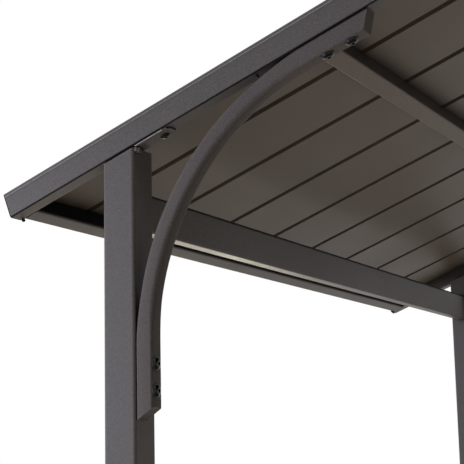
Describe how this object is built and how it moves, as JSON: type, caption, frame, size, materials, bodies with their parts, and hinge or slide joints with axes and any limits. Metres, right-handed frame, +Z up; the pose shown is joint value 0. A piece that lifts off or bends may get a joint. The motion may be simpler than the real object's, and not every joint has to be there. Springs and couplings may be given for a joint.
{
  "type": "metal gazebo",
  "caption": "Open gable-roofed gazebo of square steel posts with curved bolted braces, tube rakes and beams, and a ribbed sheet-metal roof, standing on bolt-down foot plates.",
  "frame": {"origin": "on the ground under the middle of the roof", "axes": "+Z up, Y along the ridge with the pictured gable at -Y, X across the gables"},
  "size_m": [2.4124, 1.854, 2.4026],
  "materials": {
    "frame": "satin powder coat, dark grey",
    "roof_sheet": "satin coil coat, dark grey-brown",
    "plug": "black moulded plastic"
  },
  "bodies": {
    "root": {"front_left_post": "frame", "front_right_post": "frame", "rear_left_post": "frame", "rear_right_post": "frame", "front_left_foot_plate": "frame", "front_right_foot_plate": "frame", "rear_left_foot_plate": "frame", "rear_right_foot_plate": "frame", "front_left_head_plate": "frame", "front_right_head_plate": "frame", "rear_left_head_plate": "frame", "rear_right_head_plate": "frame", "front_left_brace": "frame", "front_right_brace": "frame", "rear_left_brace": "frame", "rear_right_brace": "frame", "front_left_rake": "frame", "front_right_rake": "frame", "rear_left_rake": "frame", "rear_right_rake": "frame", "left_eave_beam": "frame", "right_eave_beam": "frame", "left_eave_rail": "frame", "right_eave_rail": "frame", "left_purlin": "frame", "right_purlin": "frame", "ridge_beam": "frame", "left_roof_sheets": "roof_sheet", "right_roof_sheets": "roof_sheet", "left_roof_ribs": "roof_sheet", "right_roof_ribs": "roof_sheet", "ridge_cap": "roof_sheet", "rake_plugs": "plug", "brace_plugs": "plug"}
  },
  "joints": []
}
